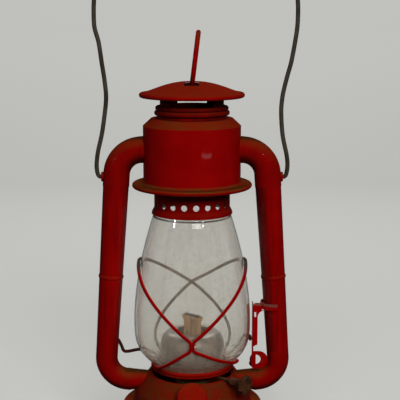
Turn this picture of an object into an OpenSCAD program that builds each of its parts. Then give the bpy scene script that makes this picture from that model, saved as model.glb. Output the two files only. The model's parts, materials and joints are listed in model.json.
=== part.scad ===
// Cold-blast kerosene lantern with a flat wick, a lifting globe and a wire bail.
// Millimetres, +Z up. The origin is the centre of the base on the table. The front faces -Y.

/* [Sheet and fits] */
// Thickness of the pressed steel sheet
sheet = 0.8; // [0.6:0.1:1]
// Gap in soldered and seated joints
fit = 0.05; // [0.03:0.01:0.1]
// Radial gap of shafts and pins that turn
running_gap = 0.05; // [0.03:0.01:0.1]
// Gap between pieces that slide past each other
slide_gap = 0.4; // [0.3:0.05:0.6]

/* [Fount] */
// Radius of the tank wall
fount_r = 58; // [56:0.5:60]
// How far the foot and the seam stand out from the tank wall
fount_lip = 1.5; // [1:0.1:2]
// Height of the foot
foot_h = 5; // [4:0.5:7]
// Width of the flange on which the foot stands
foot_flange = 6; // [4:0.5:8]
// Width and height of the turned-up edge of the tank's bottom
bottom_edge = 6; // [4:0.5:8]
// Height of the seam between tank and dome
seam_z = 27; // [25:0.5:29]
// Radius of the upright side of the dome
dome_r = 50; // [48:0.5:52]
// Height of the upright side of the dome
dome_side = 13; // [11:0.5:15]
// Length of the bend between the dome's side and its slope
dome_bend = 5; // [3:0.5:6]
// Radius of the opening on top of the dome
dome_top_r = 37; // [36:0.5:39]
// Height of the dome's top above the table
dome_top_z = 58; // [57:0.2:60]
// Height of the floor of the air chamber
chamber_floor_z = 38; // [36:0.5:39]

/* [Filler] */
// Outer radius of the filler neck
neck_r = 9.6; // [8:0.2:10]
// How far the neck stands out of the dome
neck_h = 6; // [5:0.5:7]
// Length of the neck inside the tank
neck_inside = 2; // [1:0.5:2.5]
// Outer radius of the filler cap
cap_r = 12.6; // [11.5:0.1:13]
// Thickness of the filler cap's top
cap_top = 1.6; // [1.2:0.1:2]
// Radius of the cap's rounded edge
cap_round = 3; // [2:0.1:3.2]
// Rise of the cap's crown
cap_crown = 0.9; // [0.5:0.1:1.5]
// Thickness of the cork gasket
gasket_t = 1.2; // [0.8:0.1:1.6]
// Height of the cap's skirt above the dome
cap_clear = 1; // [0.8:0.1:1.5]

/* [Air tubes] */
// Height of the tube where it enters the drum
tube_top_z = 248.6; // [246:0.2:251]
// Height of the tube where it enters the air chamber
tube_low_z = 49.5; // [49:0.1:49.8]
// Outer radius of the upper elbow
elbow_r = 11; // [10.9:0.1:11.5]
// Bend radius of the upper elbow
elbow_bend = 21.6; // [20.5:0.1:22.5]
// Distance of the upper bend's centre from the axis
elbow_x = 41; // [40.5:0.1:42]
// Drop from the bail's pivots to the joint below the upper elbow
upper_joint_drop = 8; // [8:0.5:11]
// Height of the joint above the lower elbow
lower_joint_z = 77; // [75:0.5:80]
// Outer radius of the side tube at its top
tube_top_r = 10.7; // [10.4:0.1:10.9]
// Outer radius of the side tube and the lower elbow at their joint
tube_low_r = 9.3; // [9:0.1:9.6]
// Outward lean of the side tubes in degrees
splay = 3.9; // [3.5:0.1:4.2]
// Bend radius of the lower elbow
low_bend = 19.3; // [18.5:0.1:20]
// Outer radius of the lower tube where it enters the air chamber
tube_end_r = 7.2; // [6.5:0.1:7.4]
// How far the solder seams inside and outside the elbows stand proud
seam_bead = 0.15; // [0.1:0.05:0.3]
// Width of those seams
seam_w = 2; // [1.5:0.1:3]
// Length of the spigots in the tube joints
spigot = 5; // [3:0.5:5.5]
// Height of the rolled bead round the middle of the side tubes
tube_bead_z = 141; // [140:0.5:150]
// How far that bead stands out
tube_bead = 0.6; // [0.4:0.1:0.8]

/* [Canopy] */
// Outer radius of the drum
drum_r = 40.3; // [39.5:0.1:41]
// Height of the drum's flat top
drum_top_z = 274.7; // [272:0.1:276]
// Radius of the drum's flat top
drum_flat_r = 33.8; // [32:0.2:35]
// Drop of the drum's sloping shoulder
drum_shoulder = 6; // [4:0.5:8]
// Outer radius of the brim under the drum
brim_r = 49.7; // [48:0.1:51]
// Height of the brim's underside
brim_z = 220.4; // [219:0.1:222]
// Radius of the wire rolled into the brim's edge
brim_bead = 1.9; // [1:0.1:2]
// Size of the cove between brim and drum
brim_cove = 2.4; // [1.6:0.2:3]
// Height of the lip that holds the drum on the brim
brim_lip = 4; // [3:0.5:6]

/* [Hood] */
// Outer radius of the perforated collar
collar_r = 31.5; // [31:0.1:32]
// How far the collar hangs below the brim
collar_drop = 24.6; // [23:0.1:25]
// Height of the flared rim that holds the globe
collar_rim_h = 2.2; // [1.8:0.1:3.6]
// Height of the cove between that rim and the collar's wall
collar_cove = 3; // [2:0.2:3.4]
// How far the rim flares out
collar_flare = 1.7; // [1.5:0.1:2]
// How much wider the rim is at its mouth
collar_cone = 0.5; // [0.4:0.1:1]
// Radius of the holes round the collar
collar_hole_r = 2.5; // [2:0.1:2.8]
// Height of the holes above the collar's lower edge
collar_hole_h = 9.1; // [8:0.1:12]
// Number of holes round the collar
collar_holes = 20; // [16:2:22]
// Outer radius of the chimney tube
chimney_r = 26.2; // [25.5:0.1:26.5]
// Outer radius of the throat bead
throat_r = 31; // [30:0.1:32]
// Height of the throat above the drum
throat_h = 9.9; // [9:0.1:11]
// Width of the straps under the cap, as an angle in degrees
strap_angle = 34; // [26:1:40]
// Angle of the front straps from the front
strap_at = 57; // [50:1:62]
// Angle of the back straps from the back
strap_back_at = 45; // [42:1:62]
// Outer radius of the hood cap
hood_r = 43.3; // [42:0.1:45]
// Height of the cap's rim
hood_rim_z = 293.7; // [292:0.1:295]
// Rise of the cap's crown above its rim
hood_rise = 11.1; // [10:0.1:12]
// Width of the flat edge round the cap's crown
hood_edge = 3.3; // [2.4:0.1:4]
// Radius of the bead rolled into the cap's rim
hood_bead = 2; // [1.6:0.1:2.4]
// Radius of the hood spring's wire
spring_wire = 0.7; // [0.5:0.1:0.9]
// Turns of the hood spring
spring_turns = 6; // [4:1:8]

/* [Lifting ring] */
// Radius of the lifting ring to the middle of its wire
ring_r = 21.8; // [20:0.2:23]
// Radius of the ring's wire
ring_wire = 2; // [1.4:0.1:2.1]
// Lean of the ring in degrees
ring_lean = 7; // [0:1:12]
// Length of the slots for the ring
ring_slot = 12; // [11.6:0.2:13]
// Width of the bridge between the slots
ring_bridge = 7; // [6:0.5:8]

/* [Globe] */
// Largest radius of the globe
globe_belly_r = 49.2; // [47:0.2:50]
// Height of the widest place above the globe's foot
globe_belly_h = 41; // [38:0.5:44]
// Radius of the globe's neck at its foot
globe_neck_r = 31.2; // [30.5:0.1:31.5]
// Height of the globe's neck
globe_neck_h = 3.6; // [3.4:0.1:4]
// Height of the straight lip at the globe's top
globe_lip = 2; // [1.5:0.1:3]
// Thickness of the glass
glass = 2; // [1.6:0.1:2.4]
// Travel of the globe when the lever lifts it
globe_lift = 16; // [10:0.5:17]

/* [Guard] */
// Radius of the guard wires
guard_wire = 1.4; // [1.1:0.1:1.5]
// Radius of the guard ring's wire
guard_ring_wire = 1.7; // [1.5:0.1:1.8]
// Height at which the wires meet in front
guard_front_z = 99; // [94:0.5:104]
// Height at which the wires cross behind
guard_back_z = 122; // [116:0.5:128]
// Height of the wires at the sides
guard_side_z = 154; // [146:0.5:158]
// Length over which the wires run side by side in front
guard_tie = 7; // [4:0.5:9]
// Height of the guide wire's level run
guide_run_z = 73.7; // [73:0.1:75]
// Height of the guide wire's hook behind the tube
guide_hook_z = 82; // [80:0.5:85]
// Height of the wire that ties the lever to the guard
lift_arm_z = 85.3; // [82:0.1:90]

/* [Burner] */
// Radius of the burner's body
burner_r = 14; // [13.5:0.1:15]
// Radius of the burner's dome
cone_r = 27.4; // [24:0.2:27.6]
// Height of the burner's dome
cone_h = 31; // [26:0.5:32]
// Radius of the opening on top of the burner's dome
cone_mouth = 13.5; // [11:0.5:15]
// Radius of the small holes round the dome
cone_hole_r = 1.1; // [0.8:0.1:1.3]
// Width of the wick
wick_w = 16; // [14:0.5:16]
// Thickness of the wick
wick_t = 2.8; // [2.4:0.1:3]
// Height of the wick tube's mouth
wick_tube_z = 106; // [102:0.5:108]
// How far the wick shows above its tube
wick_show = 1.5; // [0.5:0.5:3]
// Height of the wick's end in the tank
wick_low_z = 14; // [13:0.5:20]
// Direction of the wick shaft, in degrees from +X
shaft_turn = -38; // [-45:1:-32]
// Radius of the wick shaft
shaft_r = 1.3; // [1.1:0.05:1.35]
// Distance of the knob's outer face from the burner's middle
knob_out = 61; // [58:0.5:64]
// Radius of the wick knob
knob_r = 7.7; // [7:0.1:9]
// Thickness of the wick knob
knob_t = 3.5; // [2.5:0.5:4.5]
// Radius of the hub behind the knob
hub_r = 2.6; // [2:0.1:3]
// Length of the hub behind the knob
hub_l = 13; // [9:0.5:14]
// Number of grips round the knob
knob_grips = 18; // [12:1:20]
// Radius of the sprockets that bite the wick
sprocket_r = 3.2; // [3:0.1:3.4]

/* [Bail] */
// Radius of the bail wire
bail_wire = 1.8; // [1.5:0.1:2]
// Radius of the pin at each end of the bail
bail_pin = 1.6; // [1.3:0.1:1.7]
// Height of the bail's pivots
bail_z = 226; // [225:0.2:228]
// Height of the bail's top
bail_top_z = 454; // [445:1:465]
// Half width of the bail at its widest
bail_half = 81.5; // [80:0.5:83]
// How far the bent bail leans to the right
bail_lean = 4; // [0:0.5:4.5]

/* [Lift lever] */
// Height of the lever's foot
lever_z = 61; // [60.5:0.1:62]
// Height of the lever's top
lever_top_z = 117; // [115:0.5:119]
// Depth of the lever's web from front to back
lever_depth = 12; // [11:0.5:14]
// Width of the lever's front flange
lever_flange = 4.2; // [4:0.2:6]
// Height of the lever's arm where it meets the tube
lever_arm = 6.5; // [5:0.5:8]
// Radius of the finger grip at the lever's foot
lever_grip_r = 7.7; // [7:0.1:8]

/* [Hidden] */
$fn = 72;

enamel = [0.55, 0.05, 0.04];
bare_steel = [0.32, 0.30, 0.25];
aged_brass = [0.55, 0.45, 0.28];
rusty = [0.33, 0.17, 0.09];
clear_glass = [0.80, 0.84, 0.82, 0.4];
cork = [0.55, 0.40, 0.26];
cotton = [0.85, 0.82, 0.72];

// Plane geometry: unit vectors, arcs and the closed outline of a bent sheet
function unit(v) = v / norm(v);
function normal(a, b) = let (d = unit(b - a)) [-d.y, d.x];
function miter(p, i) =
    let (last = len(p) - 1,
         n1 = i > 0 ? normal(p[i - 1], p[i]) : normal(p[0], p[1]),
         n2 = i < last ? normal(p[i], p[i + 1]) : n1)
    (n1 + n2) / (1 + n1 * n2);
function bent(p, t) = concat(p, [for (i = [len(p) - 1:-1:0]) p[i] + t * miter(p, i)]);
function arc(c, r, a0, a1, steps) =
    [for (i = [0:steps]) let (a = a0 + (a1 - a0) * i / steps) c + r * [cos(a), sin(a)]];
function stadium(l, w, steps = 8) =
    let (r = w / 2, c = l / 2 - r)
    concat(arc([c, 0], r, -90, 90, steps), arc([-c, 0], r, 90, 270, steps));
function rounded_corner(a, corner, b, t) =
    (1 - t) * (1 - t) * a + 2 * t * (1 - t) * corner + t * t * b;

// Space curves: a smooth line through chosen points, and a round wire along it
function between(a, b, c, d, t) =
    0.5 * (2 * b + (c - a) * t + (2 * a - 5 * b + 4 * c - d) * t * t
        + (3 * b - a - 3 * c + d) * t * t * t);
function smooth(p, steps) =
    let (last = len(p) - 1)
    concat([for (i = [0:last - 1], k = [0:steps - 1])
        between(p[max(i - 1, 0)], p[i], p[i + 1], p[min(i + 2, last)], k / steps)], [p[last]]);
function tangent(p, i) = unit(p[min(i + 1, len(p) - 1)] - p[max(i - 1, 0)]);
function carried(u, t) = unit(u - (u * t) * t);
function side_vectors(p) =
    let (t0 = tangent(p, 0), start = carried(abs(t0.z) < 0.8 ? [0, 0, 1] : [0, 1, 0], t0))
    [for (i = 0, u = start; i < len(p);
        u = carried(u, tangent(p, min(i + 1, len(p) - 1))), i = i + 1) u];
module wire(p, r, sides = 8) {
    u = side_vectors(p);
    n = len(p);
    points = [for (i = [0:n - 1], k = [0:sides - 1])
        let (v = cross(tangent(p, i), u[i]), a = 360 * k / sides)
        p[i] + r * (cos(a) * u[i] + sin(a) * v)];
    walls = [for (i = [0:n - 2], k = [0:sides - 1])
        let (a = i * sides + k, b = i * sides + (k + 1) % sides)
        each [[a, a + sides, b], [b, a + sides, b + sides]]];
    ends = [for (k = [1:sides - 2])
        each [[0, k, k + 1], (n - 1) * sides * [1, 1, 1] + [0, k + 1, k]]];
    polyhedron(points, concat(walls, ends));
}
module turned(p) { rotate_extrude() polygon(p); }
module torus(r, wire_r, z) { translate([0, 0, z]) rotate_extrude() translate([r, 0]) circle(wire_r); }
module pipe(l, r) { linear_extrude(l) difference() { circle(r); circle(r - sheet); } }

// Fount, with the sloping face that carries the filler
seam_r = fount_r + fount_lip;
dome_corner = [dome_r, seam_z + dome_side];
dome_top = [dome_top_r, dome_top_z];
slope_tilt = atan2(dome_r - dome_top_r, dome_top_z - dome_corner.y);
filler_share = 0.45;
filler_at = dome_corner + filler_share * (dome_top - dome_corner);
chamber_r = dome_top_r - sheet - fit;
module on_filler() {
    translate([0, -filler_at.x, filler_at.y]) rotate([90 - slope_tilt, 0, 0]) children();
}

module fount_body() {
    color(enamel) turned(bent([[seam_r - foot_flange, 0], [seam_r, 0], [seam_r, foot_h],
        [fount_r, foot_h + fount_lip], [fount_r, seam_z - 2 * fount_lip], [seam_r, seam_z - fount_lip],
        [seam_r, seam_z - fit / 2]], sheet));
}
module fount_bottom() {
    rim = fount_r - sheet - fit;
    color(enamel) turned(bent([[0, foot_h - sheet], [rim - bottom_edge, foot_h - sheet],
        [rim, foot_h + sheet], [rim, foot_h + bottom_edge]], sheet));
}
module fount_dome() {
    low = dome_corner - [0, dome_bend];
    high = dome_corner + dome_bend * unit(dome_top - dome_corner);
    steps = 4;
    color(enamel) difference() {
        turned(bent(concat([[seam_r, seam_z + fit / 2], [seam_r, seam_z + fount_lip]],
            [[dome_r, seam_z + 2 * fount_lip]],
            [for (k = [0:steps]) rounded_corner(low, dome_corner, high, k / steps)],
            [dome_top]), sheet));
        for (side = [0, 1]) mirror([side, 0, 0]) lower_run(fit, true);
        on_filler() cylinder(h = 2 * dome_r, r = neck_r + fit, center = true);
    }
}
module air_chamber() {
    rim_r = chamber_r;
    hole_r = screw_r + sheet / 2 + 2 * fit;
    color(enamel) difference() {
        turned(bent([[rim_r, dome_top_z], [rim_r, chamber_floor_z], [hole_r, chamber_floor_z]], -sheet));
        for (side = [0, 1]) mirror([side, 0, 0]) lower_run(fit, true);
    }
}
module filler_neck() {
    color(enamel) on_filler() translate([0, 0, -neck_inside]) pipe(neck_inside + neck_h, neck_r);
}
module cap_gasket() {
    color(cork) on_filler() translate([0, 0, neck_h + fit])
        cylinder(h = gasket_t, r = neck_r - slide_gap);
}
module filler_cap() {
    inner_z = neck_h + fit + gasket_t + fit;
    top_z = inner_z + cap_top;
    bore = neck_r + running_gap;
    color(enamel) on_filler() turned(concat([[bore, cap_clear], [cap_r, cap_clear]],
        arc([cap_r - cap_round, top_z - cap_round], cap_round, 0, 80, 6),
        [[cap_r / 2, top_z + 0.75 * cap_crown], [0, top_z + cap_crown], [0, inner_z], [bore, inner_z]]));
}

// Air tubes: both sides share one line, which leans outwards below the upper elbow
upper_joint_z = bail_z - upper_joint_drop;
elbow_c = [elbow_x, tube_top_z - elbow_bend];
elbow_end = elbow_c + elbow_bend * [cos(splay), sin(splay)];
function axis_x(z) = elbow_end.x + (elbow_end.y - z) * tan(splay);
function tube_r(z) =
    tube_low_r + (tube_top_r - tube_low_r) * (z - lower_joint_z) / (upper_joint_z - lower_joint_z);
low_c_z = tube_low_z + low_bend;
low_c = [axis_x(low_c_z + low_bend * sin(splay)) - low_bend * cos(splay), low_c_z];
elbow_in_x = drum_r - 5;
tube_in_x = chamber_r - 3;
module on_tube(z) { translate([axis_x(z), 0, z]) rotate([0, -splay, 0]) children(); }
// Straight tube up from the joint, or a solid to cut with
module straight(l, r, hollow) {
    if (hollow) pipe(l, r);
    else cylinder(h = l, r = r);
}
// Bent tube that starts upright at its own origin and bends towards -X
module bend(r, bend_r, a, hollow) {
    translate([-bend_r, 0, 0]) rotate([90, 0, 0]) rotate_extrude(angle = a)
        translate([bend_r, 0]) difference() { circle(r); if (hollow) circle(r - sheet); }
}
// Solder seam round a tube along X, which closes the joint between a bend and a straight run
module seam(x, z, r) {
    translate([x, 0, z]) rotate([0, 90, 0]) turned([[r - sheet - seam_bead, 0], [r + seam_bead, 0],
        [r + seam_bead, seam_w], [r - sheet - seam_bead, seam_w]]);
}
// Horizontal run from the lower elbow into the air chamber, hollow or as a solid to cut with
module lower_run(grow, solid) {
    run = low_c.x - tube_in_x;
    wide = tube_low_r + grow;
    thin = tube_end_r + grow;
    translate([tube_in_x, 0, tube_low_z]) rotate([0, 90, 0])
        if (solid) cylinder(h = run, r1 = thin, r2 = wide);
        else turned([[thin, 0], [wide, run], [wide - sheet, run], [thin - sheet, 0]]);
}
module upper_elbow_body(grow, hollow) {
    r = elbow_r + grow;
    leg = (elbow_end.y - upper_joint_z) / cos(splay);
    on_tube(upper_joint_z) {
        straight(leg, r, hollow);
        translate([0, 0, leg]) bend(r, elbow_bend, 90 - splay, hollow);
    }
    translate([elbow_in_x, 0, tube_top_z]) rotate([0, 90, 0]) straight(elbow_x - elbow_in_x, r, hollow);
}
module upper_elbow() {
    color(enamel) difference() {
        union() {
            upper_elbow_body(0, true);
            seam(elbow_x - seam_w / 5, tube_top_z, elbow_r);
        }
        translate([elbow_end.x, 0, bail_z]) rotate([0, 90, 0])
            cylinder(h = 2 * elbow_r, r = bail_pin + slide_gap);
    }
}
module side_tube() {
    l = (upper_joint_z - lower_joint_z) / cos(splay);
    neck = elbow_r - sheet - fit;
    bead_z = (upper_joint_z - tube_bead_z) / cos(splay);
    bead_r = tube_r(tube_bead_z);
    bead_half = 1.6;
    outer = [[neck, spigot], [neck, -fit], [tube_top_r, -fit], [bead_r, bead_half - bead_z],
        [bead_r + tube_bead, bead_half / 2 - bead_z], [bead_r + tube_bead, -bead_half / 2 - bead_z],
        [bead_r, -bead_half - bead_z], [tube_low_r, -l + fit]];
    inner = [[tube_low_r - sheet, -l + fit], [tube_top_r - sheet, -2 * sheet], [neck - sheet, 0],
        [neck - sheet, spigot]];
    color(enamel) on_tube(upper_joint_z) turned(concat(outer, inner));
}
module lower_elbow() {
    neck = tube_low_r - sheet - fit;
    leg = (lower_joint_z - low_c.y - low_bend * sin(splay)) / cos(splay);
    color(enamel) {
        on_tube(lower_joint_z) {
            turned([[neck, spigot], [neck, 0], [tube_low_r, 0], [tube_low_r, -leg],
                [tube_low_r - sheet, -leg], [tube_low_r - sheet, -2 * sheet], [neck - sheet, -sheet],
                [neck - sheet, spigot]]);
            translate([0, 0, -leg]) mirror([0, 0, 1]) bend(tube_low_r, low_bend, 90 + splay, true);
        }
        lower_run(0, false);
        seam(low_c.x - seam_w / 2, tube_low_z, tube_low_r);
    }
}
module lower_elbow_left() { mirror([1, 0, 0]) lower_elbow(); }
module lower_elbow_right() { lower_elbow(); }
module side_tube_left() { mirror([1, 0, 0]) side_tube(); }
module side_tube_right() { side_tube(); }
module upper_elbow_left() { mirror([1, 0, 0]) upper_elbow(); }
module upper_elbow_right() { upper_elbow(); }

// Bail: pivots in a boss on each upper elbow
pivot_x = axis_x(bail_z) + elbow_r / cos(splay);
ear_out = 1.4;
module bail_ears() {
    ear_r = 4;
    color(enamel) for (side = [0, 1]) mirror([side, 0, 0]) difference() {
        translate([pivot_x - ear_out, 0, bail_z]) rotate([0, 90, 0]) cylinder(h = 2 * ear_out, r = ear_r);
        upper_elbow_body(fit, false);
        translate([elbow_end.x, 0, bail_z]) rotate([0, 90, 0])
            cylinder(h = 2 * elbow_r, r = bail_pin + running_gap);
    }
}
// Places on the bail's arms, bent by hand, from the pivot to the arch: out from the pivot, and up
right_arm = [[2.6, 0], [4.3, 2.2], [5.2, 9], [4.4, 18], [0.8, 35], [-0.6, 53], [0.1, 65], [2, 75], [4.5, 85],
    [6.9, 94], [9.4, 108]];
left_arm = [[2.6, 0], [4.3, 2.2], [5.2, 9], [4, 20], [0.5, 35], [-1.8, 49], [-3.6, 65], [-2.6, 79],
    [-0.5, 94], [1.7, 110]];
arch_rise = 94;
module bail() {
    arch_z = bail_top_z - arch_rise;
    straighten = 12;
    arms = [for (side = [-1, 1]) let (out = bail_half + side * bail_lean)
        smooth(concat([for (p = side < 0 ? left_arm : right_arm) [pivot_x + p.x, 0, bail_z + p.y]],
            [[out - 0.4, 0, arch_z - straighten], [out, 0, arch_z]]), 4)];
    arch = [for (a = [6:6:174]) [bail_lean + bail_half * cos(a), 0, arch_z + arch_rise * sin(a)]];
    arm = arms[1];
    other = [for (i = [len(arms[0]) - 1:-1:0]) [-arms[0][i].x, 0, arms[0][i].z]];
    pin_in = 1.6;
    wire_x = pivot_x + ear_out + slide_gap;
    color(bare_steel) {
        wire(concat([[wire_x, 0, bail_z]], arm, arch, other, [[-wire_x, 0, bail_z]]), bail_wire, 12);
        for (side = [0, 1]) mirror([side, 0, 0]) translate([pivot_x - pin_in, 0, bail_z])
            rotate([0, 90, 0]) cylinder(h = pin_in + ear_out + 2 * slide_gap, r = bail_pin);
    }
}

// Canopy
module canopy_drum() {
    color(enamel) difference() {
        turned(bent([[drum_r, brim_z + sheet + fit], [drum_r, drum_top_z - drum_shoulder],
            [drum_flat_r, drum_top_z], [chimney_r + slide_gap, drum_top_z]], sheet));
        for (side = [0, 1]) mirror([side, 0, 0]) translate([elbow_in_x - 5, 0, tube_top_z])
            rotate([0, 90, 0]) cylinder(h = 2 * elbow_r, r = elbow_r + fit);
    }
}
module canopy_brim() {
    hole = collar_r + collar_flare + collar_cone + slide_gap;
    lip = drum_r - sheet - fit;
    edge = brim_r - brim_bead;
    top = brim_z + sheet;
    cove = drum_r + fit + brim_cove;
    color(enamel) {
        turned(concat([[hole, brim_z], [edge, brim_z], [edge, top]],
            arc([cove, top + brim_cove], brim_cove, 270, 186, 6),
            [[drum_r + fit, top + brim_cove], [drum_r + fit, top], [lip, top], [lip, top + brim_lip],
            [lip - sheet, top + brim_lip], [lip - sheet, top], [hole, top]]));
        torus(edge, brim_bead, top + sheet / 4 - brim_bead);
    }
}
module hood_spring() {
    low = collar_top_z + slide_gap + spring_wire;
    high = drum_top_z - sheet - slide_gap - spring_wire;
    r = (chimney_r + collar_r) / 2 - sheet / 2;
    per_turn = 12;
    color(bare_steel) wire([for (i = [0:spring_turns * per_turn]) let (a = 360 * i / per_turn)
        [r * cos(a), r * sin(a), low + (high - low) * i / (spring_turns * per_turn)]], spring_wire, 6);
}

// Hood: collar, chimney, throat, straps and cap move as one
collar_z = brim_z - collar_drop;
collar_seat_z = collar_z + collar_rim_h;
collar_top_z = brim_z + sheet + fit;
throat_z = drum_top_z + slide_gap;
throat_top_z = throat_z + throat_h;
hood_top_z = hood_rim_z + hood_rise;
hood_foot = [hood_r - hood_edge, hood_rim_z + 1.05 * hood_bead];
hood_steps = 10;
hood_swell = 2.3;
hood_sweep = 1.4;
function hood_z(share) =
    hood_foot.y + (hood_top_z - hood_foot.y) * pow(1 - pow(share, hood_swell), hood_sweep);
hood_outline = concat([[hood_r - hood_bead, hood_rim_z + 0.6 * hood_bead]],
    [for (k = [hood_steps:-1:1]) [hood_foot.x * k / hood_steps, hood_z(k / hood_steps)]],
    [[0, hood_z(1 / hood_steps)]]);
ring_axis_z = hood_top_z - sheet - slide_gap - 1.42 * ring_wire;
module globe_collar() {
    rim = collar_r + collar_flare;
    hole_turn = 360 / collar_holes;
    first_hole = 6.6;
    color(enamel) difference() {
        turned(bent([[rim + collar_cone, collar_z], [rim, collar_seat_z],
            [collar_r, collar_seat_z + collar_cove], [collar_r, collar_top_z],
            [chimney_r + fit, collar_top_z]], sheet));
        for (k = [0:collar_holes - 1]) rotate([0, 0, k * hole_turn + first_hole])
            translate([collar_r - 3 * sheet, 0, collar_z + collar_hole_h]) rotate([0, 90, 0])
                cylinder(h = 5 * sheet, r = collar_hole_r);
    }
}
module chimney_tube() {
    below = 4;
    color(enamel) translate([0, 0, collar_top_z - below])
        pipe(throat_z + throat_h / 2 - collar_top_z + below, chimney_r);
}
strap_r = chimney_r + fit;
module hood_throat() {
    inner = strap_r + sheet + fit;
    low_bead = 2.2;
    high_bead = 1.9;
    body = inner + 1.4;
    color(enamel) difference() {
        union() {
            translate([0, 0, throat_z]) cylinder(h = throat_h - high_bead, r = body);
            torus(throat_r - low_bead, low_bead, throat_z + 1.9 * low_bead);
            torus(throat_r - low_bead - 0.6, high_bead, throat_top_z - high_bead);
        }
        translate([0, 0, throat_z - 1]) cylinder(h = throat_h + 2, r = inner);
    }
}
module hood_straps() {
    under = lookup(strap_r + sheet, [for (i = [len(hood_outline) - 1:-1:0]) hood_outline[i]]) - 1.5 * sheet;
    low = throat_z + 0.3 * throat_h;
    color(enamel) for (at = [-90 - strap_at, -90 + strap_at, 90 - strap_back_at, 90 + strap_back_at])
        rotate([0, 0, at - strap_angle / 2]) rotate_extrude(angle = strap_angle)
            translate([strap_r, low]) square([sheet, under - low]);
}
module hood_cap() {
    slot_out = sqrt(ring_r * ring_r - pow(ring_r - hood_top_z + ring_axis_z, 2)) + 3.6 * ring_wire;
    slot_in = ring_bridge / 2;
    color(enamel) difference() {
        union() {
            turned(bent(hood_outline, sheet));
            torus(hood_r - hood_bead, hood_bead, hood_rim_z);
        }
        for (turn = [0, 180]) rotate([0, 0, turn])
            translate([-ring_slot / 2, slot_in, hood_top_z - hood_rise / 2])
                cube([ring_slot, slot_out - slot_in, hood_rise]);
    }
}
module lifting_ring() {
    color(enamel) translate([0, 0, ring_axis_z]) rotate([0, ring_lean, 0]) translate([0, 0, ring_r])
        rotate([0, 90, 0]) torus(ring_r, ring_wire, 0);
}

// Globe and the carriage that lifts it: heights build up from the dome, past the wick shaft
shaft_z = dome_top_z + slide_gap + shaft_r;
gallery_z = shaft_z + shaft_r + slide_gap;
plate_z = gallery_z + sheet + slide_gap;
globe_z = plate_z + sheet + fit;
globe_top_z = collar_seat_z - slide_gap;
globe_lip_z = globe_top_z - globe_lip;
globe_top_r = collar_r + collar_flare - sheet - slide_gap;
belly_z = globe_z + globe_belly_h;
globe_foot = [globe_neck_r + 2.8, globe_z + globe_neck_h + 0.6];
upper_swell = 1.75;
lower_swell = 3.5;
function drawn_in(r, share, swell) = globe_belly_r - (globe_belly_r - r) * pow(share, swell);
function globe_r(z) = z > belly_z
    ? drawn_in(globe_top_r, (z - belly_z) / (globe_lip_z - belly_z), upper_swell)
    : drawn_in(globe_foot.x, (belly_z - z) / (belly_z - globe_foot.y), lower_swell);
module globe() {
    low_steps = 12;
    high_steps = 14;
    low = [for (k = [0:low_steps - 1]) globe_foot.y + (belly_z - globe_foot.y) * pow(k / low_steps, 1.5)];
    high = [for (k = [0:high_steps]) belly_z + (globe_lip_z - belly_z) * k / high_steps];
    color(clear_glass) turned(bent(concat([[globe_neck_r, globe_z], [globe_neck_r, globe_z + globe_neck_h]],
        [for (z = concat(low, high)) [globe_r(z), z]], [[globe_top_r, globe_top_z]]), glass));
}
guard_ring_r = globe_neck_r + 0.7 + guard_ring_wire;
guard_ring_z = plate_z + sheet + fit + guard_ring_wire;
plate_hole_r = cone_r + 2 * slide_gap;
module globe_plate() {
    color(enamel) translate([0, 0, plate_z]) linear_extrude(sheet) difference() {
        circle(guard_ring_r + guard_ring_wire);
        circle(plate_hole_r);
    }
}
module guard_ring() { color(enamel) torus(guard_ring_r, guard_ring_wire, guard_ring_z); }
// The middle of a wire that lies on the glass: angle from the front, and height where it is nearest
wire_gap = 0.25;
function glass_normal(z) = let (step = 0.1) unit([2 * step, globe_r(z - step) - globe_r(z + step)]);
function on_glass(turn, z, lift = 0) =
    let (p = [globe_r(z), z] + (wire_gap + guard_wire + lift) * glass_normal(z))
    [p.x * sin(turn), -p.x * cos(turn), p.y];
function meeting_turn(z) = asin((guard_wire + fit) / (globe_r(z) + guard_wire));
wire_end_z = globe_foot.y + 0.75;
function falling(z0, z1, turn, steps) =
    [for (k = [steps:-1:1]) let (t = k / steps)
        [meeting_turn(z0) + (turn - meeting_turn(z0)) * t, z1 + (z0 - z1) * pow(1 - t, 1.5)]];
function rising(z0, steps) =
    [for (k = [0:steps]) let (t = k / steps, m = meeting_turn(z0))
        [m + (90 - m) * t, z0 + (guard_side_z - z0) * (1 - pow(1 - t, 1.3))]];
function over_side(z0, steps) =
    [for (k = [1:steps]) let (t = k / steps) [90 + 90 * t, z0 + (guard_side_z - z0) * cos(90 * t)]];
function past_back(z0, turn, steps) =
    [for (k = [1:steps]) let (left = 1 - k / steps)
        [180 + turn * (1 - pow(left, 1.5)), wire_end_z + (z0 - wire_end_z) * left]];
// One wire passes over the other where they cross behind the glass
crossing_half = 22;
function crossing_lift(turn) =
    let (d = abs(turn - 180) / crossing_half) d < 1 ? (2 * guard_wire + wire_gap) * pow(cos(90 * d), 2) : 0;
module guard_wire(front_turn, front_end_z, tail, over) {
    front_low = guard_front_z - guard_tie;
    back_turn = 52;
    line = concat(tail, falling(front_low, front_end_z, front_turn, 10),
        [[meeting_turn(front_low), front_low]], rising(guard_front_z, 14), over_side(guard_back_z, 18),
        past_back(guard_back_z, back_turn, 14));
    color(enamel) wire([for (p = line) on_glass(p.x, p.y, over * crossing_lift(p.x))], guard_wire);
}
module guard_wire_left() { mirror([1, 0, 0]) guard_wire(55, wire_end_z, [], 0); }
module guard_wire_right() { guard_wire(68, wire_end_z + 4, [[80, wire_end_z], [75, wire_end_z + 2.5]], 1); }
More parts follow.
